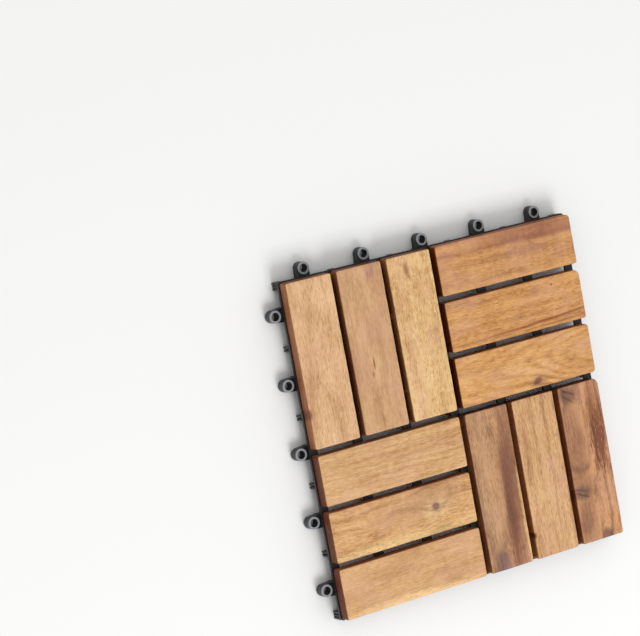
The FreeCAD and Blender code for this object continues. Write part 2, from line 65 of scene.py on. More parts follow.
# %% Place the camera
IMAGE_WIDTH = 640
FOCAL_PIXELS = 2516.7
SENSOR_MM = 36.0
CAMERA_PLACE = Vector((-1.1230, 0.3699, 1.8838))
LINE_OF_SIGHT = Vector((0.4709, -0.12125, -0.87381))
PICTURE_RIGHT = Vector((0.85488, -0.1818, 0.48593))

camera_data = bpy.data.cameras.new("camera")
camera_data.sensor_width = SENSOR_MM
camera_data.lens = FOCAL_PIXELS / IMAGE_WIDTH * SENSOR_MM
camera_data.clip_start = 0.1
camera_data.clip_end = 20.0
camera = bpy.data.objects.new("camera", camera_data)
bpy.context.scene.collection.objects.link(camera)
right = PICTURE_RIGHT.normalized()
sight = LINE_OF_SIGHT.normalized()
up = right.cross(sight).normalized()
turn = Matrix((right, up, -sight)).transposed()
camera.matrix_world = Matrix.Translation(CAMERA_PLACE) @ turn.to_4x4()
bpy.context.scene.camera = camera
print("camera", round(CAMERA_PLACE.length, 2), "m away, lens", round(camera_data.lens, 1), "mm")

# %% [markdown]
# ## Pieces from the CAD model
# A CAD mesh is a bag of loose triangles, which neither a cut nor a bevel can follow. It could be
# drawn again by hand, but then its sizes would drift. A copy is cleaner: its doubled points are
# merged, and its triangles joined to four-sided faces wherever they lie flat. The CAD mesh itself
# stays as it is.

# %% A copy to work on
MERGE_REACH = 0.002 * MM
FLAT_ANGLE = math.radians(0.5)
ANY_SHAPE = math.pi


def make_active(piece):
    """Selects only this piece, as the operators expect."""
    bpy.ops.object.select_all(action="DESELECT")
    piece.select_set(True)
    bpy.context.view_layer.objects.active = piece


def copy_of(node_name, piece_name):
    """A clean copy of a CAD node, which stands for it in the picture."""
    piece = bpy.data.objects.new(piece_name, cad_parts[node_name].data.copy())
    bpy.context.scene.collection.objects.link(piece)
    make_active(piece)
    bpy.ops.object.mode_set(mode="EDIT")
    bpy.ops.mesh.select_all(action="SELECT")
    bpy.ops.mesh.remove_doubles(threshold=MERGE_REACH)
    bpy.ops.mesh.tris_convert_to_quads(face_threshold=FLAT_ANGLE, shape_threshold=ANY_SHAPE)
    bpy.ops.object.mode_set(mode="OBJECT")
    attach(piece, "root")
    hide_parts(node_name)
    return piece


print("the CAD model has", len(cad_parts), "nodes, each to be copied")

# %% [markdown]
# ## Twelve boards
# A real slat is sawn, sanded and rounded over, then dries a little uneven and takes small knocks
# along its rims. A bump map could fake that on the flat, but not on the outline. So each board is
# cut into a fine grid, and clouds of noise press its points in: broad shallow ones all over, and
# small ones on the rims. The noise only ever lowers the surface, so no board grows.

# %% Cut a board into a grid
GRID_STEP = 2.5 * MM


def cut_across(low, high, axis):
    """Cuts the active mesh with planes across an axis, a grid step apart."""
    steps = round((high[axis] - low[axis]) / GRID_STEP)
    for step in range(1, steps):
        place = low.copy()
        place[axis] += (high[axis] - low[axis]) * step / steps
        normal = [float(axis == other) for other in range(3)]
        bpy.ops.mesh.select_all(action="SELECT")
        bpy.ops.mesh.bisect(plane_co=place, plane_no=normal, threshold=MERGE_REACH)


print("the boards' grid is", GRID_STEP / MM, "mm")

# %% Wear a board with clouds of noise
SEAT_HEIGHT = 1.5 * MM
RIM_REACH = 2.0 * MM
WARP_SIZE, WARP_DEPTH = 45 * MM, 0.3 * MM
DENT_SIZE, DENT_DEPTH = 7 * MM, 0.35 * MM


def group_points(board, low, high):
    """Groups the points that may move: all above the seat, and those of the top's rims."""
    free = board.vertex_groups.new(name="free")
    rims = board.vertex_groups.new(name="rims")
    for vertex in board.data.vertices:
        place = vertex.co
        inset = min(place.x - low.x, high.x - place.x, place.y - low.y, high.y - place.y)
        if place.z > low.z + SEAT_HEIGHT:
            free.add([vertex.index], 1.0, "REPLACE")
        if place.z > high.z - RIM_REACH and inset < RIM_REACH:
            rims.add([vertex.index], 1.0, "REPLACE")


def wear_down(board, name, cloud_size, depth, group):
    """Lowers the surface by up to that depth where a cloud of noise says, and never raises it."""
    clouds = bpy.data.textures.new(name, "CLOUDS")
    clouds.noise_scale = cloud_size
    worn = board.modifiers.new(name, "DISPLACE")
    worn.texture = clouds
    worn.texture_coords = "LOCAL"
    worn.strength = depth
    worn.mid_level = 1.0
    worn.vertex_group = group
    make_active(board)
    bpy.ops.object.modifier_apply(modifier=name)


print("boards sink by up to", WARP_DEPTH / MM, "mm, and rims by", DENT_DEPTH / MM, "mm more")

# %% Make the boards
SMOOTH_ANGLE = math.radians(35)


def make_board(node_name):
    """One acacia board: flat enough to walk on, but neither straight nor sharp."""
    low, high = (Vector(corner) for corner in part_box(node_name))
    board_name = node_name.replace("slat", "board")
    board = copy_of(node_name, board_name)
    bpy.ops.object.mode_set(mode="EDIT")
    for axis in (0, 1):
        cut_across(low, high, axis)
    bpy.ops.object.mode_set(mode="OBJECT")
    group_points(board, low, high)
    wear_down(board, "warp", WARP_SIZE, WARP_DEPTH, "free")
    wear_down(board, "dents", DENT_SIZE, DENT_DEPTH, "rims")
    board.vertex_groups.clear()
    bpy.ops.object.shade_smooth_by_angle(angle=SMOOTH_ANGLE)
    return board


SLAT_NODES = [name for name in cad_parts
              if name.startswith("slat_") and name != "slat_screws"]
boards = {node_name: make_board(node_name) for node_name in SLAT_NODES}
print(len(boards), "boards,", sum(len(board.data.polygons) for board in boards.values()), "faces")

# %% [markdown]
# ## The moulding and the screws
# The moulding is the lattice that carries the slats, and the screws come up through it. No moulded
# or rolled edge is sharp, and it is the small radius that catches a line of light. A bevel with its
# overlap clamped would shrink to nothing, because the shortest edge of the lattice sets it for all.
# So only the edges that are long enough carry the bevel, by a weight on each, and weighted normals
# then keep the broad faces beside them flat to the eye.

# %% Round the edges
ROUND_ANGLE = math.radians(38)


def weigh_edges(piece, shortest):
    """Gives the bevel to the sharp edges, apart from those too short to hold its radius."""
    make_active(piece)
    bpy.ops.object.mode_set(mode="EDIT")
    bpy.ops.mesh.select_mode(type="EDGE")
    bpy.ops.mesh.select_all(action="DESELECT")
    bpy.ops.mesh.edges_select_sharp(sharpness=ROUND_ANGLE)
    bpy.ops.object.mode_set(mode="OBJECT")
    mesh = piece.data
    weights = mesh.attributes.new("bevel_weight_edge", "FLOAT", "EDGE")
    for edge in mesh.edges:
        start, end = (mesh.vertices[index].co for index in edge.vertices)
        weights.data[edge.index].value = float(edge.select and (end - start).length > shortest)


def round_edges(piece, radius, shortest, segments):
    """Rounds a piece's long sharp edges, and keeps its broad faces flat to the eye."""
    weigh_edges(piece, shortest)
    rounded = piece.modifiers.new("rounded", "BEVEL")
    rounded.width = radius
    rounded.segments = segments
    rounded.limit_method = "WEIGHT"
    rounded.use_clamp_overlap = False
    bpy.ops.object.modifier_apply(modifier="rounded")
    bpy.ops.object.shade_smooth_by_angle(angle=SMOOTH_ANGLE)
    level = piece.modifiers.new("level", "WEIGHTED_NORMAL")
    level.keep_sharp = True
    bpy.ops.object.modifier_apply(modifier="level")


moulding = copy_of("base_grid", "moulding")
round_edges(moulding, radius=0.2 * MM, shortest=0.6 * MM, segments=2)
screws = copy_of("slat_screws", "zinc_screws")
round_edges(screws, radius=0.12 * MM, shortest=0.5 * MM, segments=1)
for piece in (moulding, screws):
    print(piece.name, "has", len(piece.data.polygons), "faces")

# %% [markdown]
# ## Colours and nodes
# Colours are written as sRGB hex values, as a paint chart gives them, and one function turns them
# to the linear values that Blender works in. A second function adds a node with its settings and
# its links. Nodes could also be wired one line at a time, but then a material reads as plumbing;
# this way it reads as a list of its steps.

# %% Helpers for every material
def linear(hex_colour):
    """The linear RGBA of an sRGB hex colour."""
    shares = [int(hex_colour[i:i + 2], 16) / 255 for i in (1, 3, 5)]
    return (*[s / 12.92 if s <= 0.04045 else ((s + 0.055) / 1.055) ** 2.4 for s in shares], 1.0)


def add(tree, kind, inputs=None, **settings):
    """Adds a node. An input may be a number, a colour, a node (its first output) or an output."""
    made = tree.nodes.new("ShaderNode" + kind)
    for name, value in settings.items():
        setattr(made, name, value)
    for socket, value in (inputs or {}).items():
        if isinstance(value, bpy.types.Node):
            tree.links.new(value.outputs[0], made.inputs[socket])
        elif isinstance(value, bpy.types.NodeSocket):
            tree.links.new(value, made.inputs[socket])
        else:
            made.inputs[socket].default_value = value
    return made


def new_material(name):
    """A material with a bare shader, its node tree and the shader."""
    material = bpy.data.materials.new(name)
    material.use_nodes = True
    tree = material.node_tree
    tree.nodes.clear()
    shader = add(tree, "BsdfPrincipled")
    add(tree, "OutputMaterial", {"Surface": shader})
    return material, tree, shader


def dress(piece, material):
    """The piece shows this material all over."""
    piece.data.materials.clear()
    piece.data.materials.append(material)


print("the hex grey #808080 is", round(linear("#808080")[0], 3), "in linear light")

# %% [markdown]
# ## Oiled acacia
# Acacia is a dense, warm brown hardwood with a coarse, interlocked grain. A sanded board shows four
# things at once: growth rings cut at a slant, which make faint lines and arches; a mass of fine
# broken strokes, where the saw laid vessels open; broad soft strands, from pale sapwood to
# purple-brown heartwood; and darts of cross figure where the grain interlocks. A picture of wood
# could be wrapped round each board, but it would smear on the edges. Here every pattern fills
# space, as wood does, and the board is cut out of it, so that the top, the edges and the end grain
# agree.

# %% Where a pattern lies on a slat
def in_millimetres(tree):
    """Object coordinates in mm, so that each pattern's scale can be a real size."""
    coordinates = add(tree, "TexCoord")
    return add(tree, "VectorMath", {0: coordinates.outputs["Object"], 1: (1 / MM,) * 3},
               operation="MULTIPLY")


def lie_of(node_name):
    """The middle of a slat's top in mm, and whether the slat runs along X."""
    low, high = (Vector(corner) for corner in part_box(node_name))
    middle = (low + high) / 2
    top = [round(place / MM, 3) for place in (middle.x, middle.y, high.z)]
    return top, high.x - low.x > high.y - low.y


def along_slat(tree, top, along_x):
    """Millimetres with X along the grain, Y across it and 0 at the middle of the slat's top."""
    x, y, z = top
    turn_z = 0.0 if along_x else -math.pi / 2
    moved = (-x, -y, -z) if along_x else (-y, x, -z)
    return add(tree, "Mapping", {"Vector": in_millimetres(tree), "Rotation": (0, 0, turn_z),
                                 "Location": moved})


def on_slat(top, along_x, x, y):
    """A point of the tile, in mm, as its distance along and across the slat."""
    dx, dy = x - top[0], y - top[1]
    return (dx, dy) if along_x else (dy, -dx)


print("slats that run along X:", sum(lie_of(node_name)[1] for node_name in SLAT_NODES))

# %% [markdown]
# ## The grain's streaks
# All grain is noise drawn out along the board, at very different sizes: clouds and strands of tone
# as broad as a finger, fibres and broken strokes as fine as a thread, and darts of figure that lie
# across. One noise with many octaves would look like smoke, because wood has these few sizes and
# little between them. The finest are drawn a little coarse, so that they show. A slow waver pushes
# them all together.

# %% Streaks along the grain
STREAKS = {
    # kind: usual length and width in mm, step of the seed, octaves, roughness
    "cloud": (42, 15, 5, 2.0, 0.5),
    "strand": (130, 7.0, 1, 3.0, 0.5),
    "fibre": (24, 1.3, 2, 4.0, 0.6),
    "stroke": (6.0, 0.75, 3, 3.0, 0.65),
    "figure": (5.0, 11, 4, 3.0, 0.6),
}
WAVER_WIDTH = 18
SEED_PATH = (1.0, 1.7, 0.6)


def streaks(tree, place, length, width, seed, detail, roughness=0.5):
    """Noise drawn out along the grain: the usual length and width of a streak, in mm."""
    at = add(tree, "Mapping", {"Vector": place, "Scale": (1 / length, 1 / width, 1 / width),
                               "Location": [seed * step for step in SEED_PATH]})
    return add(tree, "TexNoise", {"Vector": at, "Scale": 1.0, "Detail": detail,
                                  "Roughness": roughness})


def wavering(tree, place, slat):
    """The place pushed by the slow waver that every line of the grain follows."""
    slow = streaks(tree, place, slat["wave_mm"], WAVER_WIDTH, slat["seed"], 2.0)
    about_zero = add(tree, "VectorMath", {0: slow.outputs["Color"], 1: (-0.5,) * 3},
                     operation="ADD")
    return add(tree, "VectorMath", {0: about_zero, 1: (slat["waver"],) * 3, 2: place},
               operation="MULTIPLY_ADD")


def grain_of(tree, flow, slat):
    """Every kind of streak on a slat, by its name."""
    return {
        kind: streaks(tree, flow, length, width, slat["seed"] + step, detail, roughness)
        for kind, (length, width, step, detail, roughness) in STREAKS.items()
    }


print("kinds of streak:", ", ".join(STREAKS))

# %% [markdown]
# ## Knots, stains and painted highlights
# A knot is a branch cut across, and a stain is heartwood or a healed wound. Each could be a picture
# laid on the board, but its border would cut the grain. So each is a soft ellipse whose border
# breaks up along the strokes. Round a knot the rings bend: the whole ring field is lifted there,
# and its lines then flow round the knot as they do in the tree. Two pale bands along the front
# edges of slats are drawn the same way, but they are painted highlights, where a rounded edge
# catches the light.

# %% A soft mark
BREAK_UP = 3.0


def mark_mask(tree, place, strokes, spot, size, turn_deg, softness, ragged):
    """1 inside an ellipse of that length and width in mm, and 0 beyond its broken border."""
    shifted = add(tree, "VectorMath", {0: place, 1: (-spot[0], -spot[1], 0)}, operation="ADD")
    turned = add(tree, "Mapping", {"Vector": shifted,
                                   "Rotation": (0, 0, -math.radians(turn_deg))})
    shares = (2 / size[0], 2 / size[1], 0)
    flat = add(tree, "VectorMath", {0: turned, 1: shares}, operation="MULTIPLY")
    reach = add(tree, "VectorMath", {0: flat}, operation="LENGTH")
    broken = add(tree, "Math", {0: strokes, 1: BREAK_UP * ragged, 2: reach.outputs["Value"]},
                 operation="MULTIPLY_ADD")
    border = 1 + BREAK_UP / 2 * ragged
    return add(
        tree, "MapRange",
        {"Value": broken, "From Min": border - softness, "From Max": border + softness,
         "To Min": 1.0, "To Max": 0.0},
        interpolation_type="SMOOTHSTEP",
    )


print("a raggedness of 1 moves a border by up to", BREAK_UP / 2, "times the mark's half size")

# %% A slat's marks
KNOT_REACH = (2.6, 3.2)
KNOT_SOFTNESS = 0.99
KNOT_RINGS = 0.28


def marks_of(tree, place, flow, strokes, strand, slat, lie):
    """The slat's marks, the ring field lifted at its knots, and how strongly the rings show."""
    rings_at = flow
    marks = []
    # A strand is a half on average, so twice it leaves the share as the table gives it.
    ring_share = add(tree, "Math", {0: strand, 1: 2.0 * slat["ring_share"]},
                     operation="MULTIPLY")
    for x, y, length, width, turn_deg, softness, ragged, colour, strength, lift in slat["marks"]:
        spot = on_slat(*lie, x, y)
        mask = mark_mask(tree, flow, strokes, spot, (length, width), turn_deg, softness, ragged)
        marks.append((mask, colour, strength))
        if lift:
            reach = (length * KNOT_REACH[0], width * KNOT_REACH[1])
            raised = mark_mask(tree, place, strokes, spot, reach, turn_deg, KNOT_SOFTNESS, 0.0)
            lifted = add(tree, "CombineXYZ", {"Z": raised})
            rings_at = add(tree, "VectorMath", {0: lifted, 1: (lift,) * 3, 2: rings_at},
                           operation="MULTIPLY_ADD")
            ring_share = add(tree, "Math", {0: raised, 1: KNOT_RINGS, 2: ring_share},
                             operation="MULTIPLY_ADD")
    return marks, rings_at, ring_share


print("rings are lifted over", KNOT_REACH, "times a knot's length and width")

# %% [markdown]
# ## Growth rings
# A tree adds one ring a year round its axis, and a board is a slice that passes near that axis,
# slightly aslant, so that its top cuts the rings to long arches. Arches could be drawn as curves on
# the top, but the end grain would not follow. A wave in rings round the real axis gives both.

# %% Rings round the tree's axis
# Blender's wave turns by 20 radians for each unit of length, so this scale gives a ring each mm.
RING_WAVE = 2 * math.pi / 20


def rings_of(tree, rings_at, slat):
    """Growth rings round the tree's axis, as narrow dark lines on paler wood."""
    pith_across, pith_below, tilt_across, tilt_below = slat["pith"]
    turned = add(
        tree, "Mapping",
        {"Vector": rings_at, "Location": (0, -pith_across, pith_below),
         "Rotation": (0, math.radians(tilt_below), math.radians(tilt_across))},
    )
    rings = add(
        tree, "TexWave",
        {"Vector": turned, "Scale": RING_WAVE / slat["ring_mm"], "Distortion": 1.6,
         "Detail": 3.0, "Detail Scale": 1.0, "Detail Roughness": 0.55},
        wave_type="RINGS", rings_direction="X", wave_profile="SIN",
    )
    return add(tree, "Math", {0: rings, 1: 2.0}, operation="POWER")


print("a wave scale of", round(RING_WAVE, 3), "gives rings 1 mm apart")

# %% [markdown]
# ## One tone
# Pale and dark wood could be painted in separate layers, but in a real board they are one thing:
# how much of the light the wood keeps. So the rings and streaks are summed to one tone, each about
# its own middle, so that a share only changes the contrast.

# %% The sum of rings and streaks
RING_MEAN = 0.38


def tone_of(tree, rings, ring_share, grain, slat):
    """One tone from 0, palest, to 1, darkest."""
    about_zero = add(tree, "Math", {0: rings, 1: -RING_MEAN}, operation="ADD")
    tone = add(tree, "Math", {0: ring_share, 1: about_zero, 2: 0.5}, operation="MULTIPLY_ADD")
    for kind in STREAKS:
        about_zero = add(tree, "Math", {0: grain[kind], 1: -0.5}, operation="ADD")
        tone = add(tree, "Math", {0: about_zero, 1: slat[kind], 2: tone},
                   operation="MULTIPLY_ADD")
    return tone


print("one tone from the rings and", len(STREAKS), "kinds of streak")

# %% [markdown]
# ## Open vessels
# Vessels are the wood's pipes. The saw lays them open, and each shows as a short dark dash that is
# also a tiny groove. Real ones are a tenth of a millimetre wide, too fine to show, so they are
# drawn coarser. Noise would give blots, but stretched cells each hold one dash.

# %% Dashes in stretched cells
VESSELS_PER_MM = (0.12, 1.15, 1.15)


def vessels_of(tree, flow, slat):
    """1 in the middle of a dash, falling to 0 at its border."""
    at = add(tree, "Mapping", {"Vector": flow, "Scale": VESSELS_PER_MM,
                               "Location": (0, slat["seed"], 0)})
    cells = add(tree, "TexVoronoi", {"Vector": at, "Scale": 1.0, "Randomness": 1.0})
    return add(tree, "MapRange", {"Value": cells.outputs["Distance"], "From Min": 0.08,
                                  "From Max": 0.32, "To Min": 1.0, "To Max": 0.0})


print("cells of", [round(1 / count, 1) for count in VESSELS_PER_MM], "mm hold a vessel each")

# %% [markdown]
# ## The colour of the top
# Within one slat the hue hardly changes, so a ramp of three of its colours turns the tone to wood.
# Pinkish clouds stand where the sapwood starts. A mark could simply cover the wood, but it would
# look like paint: it keeps the light and dark of the grain below it, as a stain does.

# %% Tone to colour
TONE_LOW, TONE_HIGH = 0.2, 0.8
PALE_STOP, MIDDLE_STOP, DARK_STOP = 0.2, 0.5, 0.84
BLUSH_COLOUR, BLUSH_LENGTH, BLUSH_WIDTH, BLUSH_STEP = "#DCA88C", 34, 18, 6
VESSEL_COLOUR = "#8A5A36"


def wood_ramp(tree, tone, slat):
    """The slat's palest, middle and darkest colour, by tone."""
    pale, middle, dark = slat["tones"]
    ramp = add(tree, "ValToRGB", {"Fac": tone})
    stops = ramp.color_ramp.elements
    stops[0].position, stops[0].color = PALE_STOP, linear(pale)
    stops[1].position, stops[1].color = DARK_STOP, linear(dark)
    stops.new(MIDDLE_STOP).color = linear(middle)
    return ramp


def colour_of(tree, flow, tone, marks, vessels, slat):
    """The top's colour: the ramp, a blush, the marks and the vessels."""
    blush = streaks(tree, flow, BLUSH_LENGTH, BLUSH_WIDTH, slat["seed"] + BLUSH_STEP, 2.0)
    blush_share = add(tree, "MapRange", {"Value": blush, "From Min": 0.45, "From Max": 0.65,
                                         "To Min": 0.0, "To Max": 0.3})
    colour = add(tree, "MixRGB", {"Fac": blush_share, "Color1": wood_ramp(tree, tone, slat),
                                  "Color2": linear(BLUSH_COLOUR)})
    shade = add(tree, "MapRange", {"Value": tone, "From Min": TONE_LOW, "From Max": TONE_HIGH,
                                   "To Min": 1.22, "To Max": 0.76})
    for mask, mark_colour, strength in marks:
        share = add(tree, "Math", {0: mask, 1: strength}, operation="MULTIPLY", use_clamp=True)
        tint = add(tree, "VectorMath", {0: linear(mark_colour)[:3], "Scale": shade},
                   operation="SCALE")
        colour = add(tree, "MixRGB", {"Fac": share, "Color1": colour, "Color2": tint})
    vessel_share = add(tree, "Math", {0: vessels, 1: slat["vessels"]}, operation="MULTIPLY")
    return add(tree, "MixRGB", {"Fac": vessel_share, "Color1": colour,
                                "Color2": linear(VESSEL_COLOUR)}, blend_type="MULTIPLY")


print("tones of", TONE_LOW, "to", TONE_HIGH, "span most of the ramp from pale to dark")

# %% [markdown]
# ## Painted shade on the sides, and darker end grain
# Every face that turns from the top is darkened as painted shade, since less light falls on it.
# End grain also drinks far more oil than the sanded top, so the ends are darker still in their own
# colour. Three materials could be given to three sets of faces, but their borders would be hard.
# The surface's own direction says softly where the top ends, and where the fibres' ends show.

# %% Painted shade on the sides, darker end grain
# The side tint is painted shade; the end tint is the end grain's own colour.
SIDE_SHADE_TINT = "#A8754E"
END_TINT = "#986635"
EDGE_STRENGTH = 0.85


def side_shade_and_end_grain(tree, colour, along_x):
    """The colour, with painted shade on faces that turn from the top and darker end grain."""
    coordinates = add(tree, "TexCoord")
    facing = add(tree, "SeparateXYZ", {"Vector": coordinates.outputs["Normal"]})
    # Painted shade: a face that turns from the top is darkened, as if less light falls on it.
    painted_side_shade = add(tree, "MapRange", {"Value": facing.outputs["Z"], "From Min": 0.25,
                                        "From Max": 0.8, "To Min": EDGE_STRENGTH, "To Max": 0.0})
    along_grain = add(tree, "Math", {0: facing.outputs["X" if along_x else "Y"]},
                      operation="ABSOLUTE")
    end_share = add(tree, "MapRange", {"Value": along_grain, "From Min": 0.35,
                                       "From Max": 0.85, "To Min": 0.0, "To Max": EDGE_STRENGTH})
    for share, tint in ((painted_side_shade, SIDE_SHADE_TINT), (end_share, END_TINT)):
        colour = add(tree, "MixRGB", {"Fac": share, "Color1": colour, "Color2": linear(tint)},
                     blend_type="MULTIPLY")
    return colour


print("sides are tinted", SIDE_SHADE_TINT, "and ends", END_TINT)

# %% [markdown]
# ## Each slat's own board
# No two slats come from the same place in a log, and on this tile that is what the eye sees first.
# Chance could choose for each slat, but then none would be the board that lies there. A table is
# plain to read and to change: each row gives a slat its tones, the tree's axis beside it, the
# spacing of its rings, the length of its waver, how strongly each streak shows, and its marks.

# %% The table of slats
SLATS = {
    # tones: palest, middle and darkest colour
    # pith: the tree's axis in mm across the slat and below its top, and its tilt in degrees
    # marks: x and y on the tile, length along and width across the grain in mm, turn in degrees,
    #        softness and raggedness of the border, colour, strength, lift of the rings in mm
    "slat_rear_left_1": dict(
        seed=1.3, tones=("#EDC396", "#DAAE7E", "#B8895D"),
        pith=(30, 70, 0.3, 0.8), ring_mm=7.0, ring_share=0.08, waver=3.0, wave_mm=90,
        cloud=0.7, strand=0.45, fibre=0.6, stroke=1.25, figure=0.3, vessels=0.6,
        marks=[
            (-146, 36, 24, 14, 0, 0.9, 0.4, "#C48E68", 0.6, 3.0),
            (-148, 33, 8, 6, 0, 0.5, 0.3, "#8E5A3C", 0.8, 0.0),
        ],
    ),
    "slat_rear_left_2": dict(
        seed=5.1, tones=("#DEB587", "#CC9E71", "#AF815A"),
        pith=(-14, 60, 0.5, -0.7), ring_mm=8.0, ring_share=0.06, waver=4.0, wave_mm=90,
        cloud=0.8, strand=0.45, fibre=0.55, stroke=1.0, figure=0.25, vessels=0.35,
        marks=[
            (-66, 140, 16, 7, -20, 0.7, 0.4, "#AF7A71", 0.6, 0.0),
            (-77, 62, 10, 1.6, 0, 0.6, 0.2, "#894E2F", 0.9, 0.0),
            (-79, 53, 5, 1.4, 0, 0.6, 0.2, "#894E2F", 0.7, 0.0),
        ],
    ),
    "slat_rear_left_3": dict(
        seed=9.7, tones=("#F3CD95", "#DFB57C", "#BE8E55"),
        pith=(10, 45, -0.6, 1.6), ring_mm=6.0, ring_share=0.1, waver=9.0, wave_mm=34,
        cloud=0.75, strand=0.5, fibre=0.6, stroke=1.2, figure=0.5, vessels=0.7,
        marks=[(-28, 133, 12, 4, 0, 0.8, 0.3, "#976945", 0.8, 2.0)],
    ),
    "slat_rear_right_1": dict(
        seed=14.2, tones=("#DEA96B", "#C98F57", "#A26D43"),
        pith=(-40, 50, 1.5, 0.5), ring_mm=7.5, ring_share=0.12, waver=7.0, wave_mm=60,
        cloud=0.7, strand=0.5, fibre=0.55, stroke=1.0, figure=0.6, vessels=0.4,
        marks=[
            (108, 140, 120, 13, -3, 0.6, 0.9, "#A0654E", 0.75, 0.0),
            (12, 136, 24, 18, 0, 0.9, 0.6, "#C4896A", 0.5, 0.0),
        ],
    ),
    "slat_rear_right_2": dict(
        seed=21.8, tones=("#E3AA6B", "#CE9356", "#AA7340"),
        pith=(26, 34, 1.2, 0.6), ring_mm=5.5, ring_share=0.12, waver=5.0, wave_mm=60,
        cloud=0.5, strand=0.65, fibre=0.7, stroke=1.35, figure=0.3, vessels=0.6,
        marks=[
            (98, 60, 112, 2.6, 2.6, 0.6, 0.4, "#93512B", 0.85, 0.0),
            (116, 56, 64, 1.8, 0.5, 0.6, 0.4, "#995C2B", 0.6, 0.0),
            (115.4, 90, 1.8, 1.6, 0, 0.5, 0.0, "#623E23", 0.9, 0.0),
        ],
    ),
    "slat_rear_right_3": dict(
        seed=27.5, tones=("#E8B577", "#D49B5C", "#B27B46"),
        pith=(0, 24, 0.0, 9.0), ring_mm=3.8, ring_share=0.15, waver=3.0, wave_mm=90,
        cloud=0.6, strand=0.5, fibre=0.65, stroke=1.15, figure=0.2, vessels=0.5,
        marks=[
            (85, 9, 18, 11, 0, 0.6, 0.3, "#AF7E54", 0.7, 4.0),
            (84, 9, 9, 5, 20, 0.5, 0.2, "#75453C", 0.85, 0.0),
        ],
    ),
    "slat_front_left_1": dict(
        seed=33.1, tones=("#E5B987", "#D2A36E", "#B48352"),
        pith=(60, 40, 0.5, 0.4), ring_mm=4.5, ring_share=0.12, waver=3.0, wave_mm=90,
        cloud=0.6, strand=0.65, fibre=0.65, stroke=1.3, figure=0.35, vessels=0.4,
        marks=[],
    ),
    "slat_front_left_2": dict(
        seed=39.6, tones=("#E8BB82", "#D19F69", "#AC784A"),
        pith=(-8, 30, -1.0, 1.2), ring_mm=6.0, ring_share=0.15, waver=9.0, wave_mm=60,
        cloud=0.7, strand=0.55, fibre=0.7, stroke=1.2, figure=0.4, vessels=0.4,
        marks=[
            (-56, -68, 60, 22, 8, 0.9, 0.6, "#B48662", 0.6, 0.0),
            (-41, -76, 24, 16, 10, 0.9, 0.5, "#E8C796", 0.55, 0.0),
            (-42.6, -74, 8.0, 7.0, 0, 0.5, 0.2, "#8A5A50", 0.9, 5.0),
            # A painted highlight: a pale band along the slat's front edge, where the rounded edge
            # catches light.
            (-75, -94, 150, 9, 0, 0.7, 0.6, "#EDCB8A", 0.6, 0.0),
        ],
    ),
    "slat_front_left_3": dict(
        seed=45.9, tones=("#E3B784", "#D0A06C", "#B28153"),
        pith=(18, 60, 0.4, 0.4), ring_mm=5.5, ring_share=0.08, waver=3.0, wave_mm=90,
        cloud=0.7, strand=0.5, fibre=0.55, stroke=1.0, figure=0.3, vessels=0.4,
        # A painted highlight: a pale band along the slat's front edge, where the rounded edge
        # catches light.
        marks=[(-75, -145, 150, 9, 0, 0.6, 0.4, "#F5CC93", 0.55, 0.0)],
    ),
    "slat_front_right_1": dict(
        seed=52.4, tones=("#D6A372", "#BB8A5E", "#8D5E40"),
        pith=(8, 36, 0.8, 0.6), ring_mm=6.0, ring_share=0.1, waver=5.0, wave_mm=60,
        cloud=0.7, strand=0.9, fibre=0.9, stroke=1.3, figure=0.35, vessels=0.6,
        marks=[
            (14, -70, 170, 24, 0, 0.6, 0.8, "#B48C68", 0.6, 0.0),
            (37, -80, 165, 17, -4, 0.45, 1.2, "#8E5E44", 0.75, 0.0),
            (34, -92, 124, 11, -4, 0.6, 1.4, "#6E402E", 0.75, 0.0),
            (17, -142, 24, 17, 20, 0.6, 0.9, "#7C5C56", 0.75, 3.0),
            (46.2, -105, 84, 5.5, 0, 0.35, 0.8, "#DDB077", 0.9, 0.0),
        ],
    ),
    "slat_front_right_2": dict(
        seed=58.8, tones=("#E5B884", "#D1A270", "#AC7B50"),
        pith=(40, 50, 0.6, 0.5), ring_mm=4.8, ring_share=0.1, waver=5.0, wave_mm=60,
        cloud=0.7, strand=0.65, fibre=0.85, stroke=1.2, figure=0.3, vessels=0.7,
        marks=[(53.4, -125.5, 5, 3, 0, 0.6, 0.2, "#603821", 0.9, 0.0)],
    ),
    "slat_front_right_3": dict(
        seed=63.0, tones=("#D8A16D", "#BE895C", "#916040"),
        pith=(12, 22, 1.2, 2.0), ring_mm=5.5, ring_share=0.22, waver=7.0, wave_mm=60,
        cloud=0.7, strand=0.8, fibre=0.8, stroke=1.2, figure=0.35, vessels=0.6,
        marks=[
            (111, -70, 170, 20, 2, 0.5, 1.0, "#9E6F50", 0.75, 0.0),
            (138, -36, 78, 16, 0, 0.4, 2.2, "#9C6440", 0.7, 0.0),
            (139, -58, 50, 15, 0, 0.25, 2.6, "#74402A", 0.9, 0.0),
            (111, -10, 15, 17, 0, 0.4, 0.5, "#7E5846", 0.8, 5.0),
            (112, -8, 2.2, 13, -25, 0.5, 0.3, "#5E3E32", 0.8, 0.0),
            (111, -14, 1.8, 13, -35, 0.5, 0.3, "#6A4638", 0.8, 0.0),
            (110, -101, 13, 18, 0, 0.4, 0.5, "#7E5A46", 0.8, 5.0),
            (109, -98.5, 1.8, 14, -15, 0.5, 0.3, "#62443A", 0.75, 0.0),
            (110, -103.5, 2.0, 14, -25, 0.5, 0.3, "#5E4034", 0.8, 0.0),
            (129, -145, 14, 11, 0, 0.5, 0.5, "#6A463A", 0.8, 5.0),
        ],
    ),
}
print(len(SLATS), "rows,", sum(len(slat["marks"]) for slat in SLATS.values()), "marks")

# %% [markdown]
# ## The finish of a slat
# The boards are sanded and then oiled. Varnish would be a clear coat with one even gloss. Oil sinks
# in, so the ribs of the grain are satin and the open vessels dull, and the gloss follows the tone.
# The vessels also sink a little below the strokes beside them.

# %% Oil the boards
GRAIN_DEPTH = 0.12 * MM
VESSEL_DEPTH = 0.8


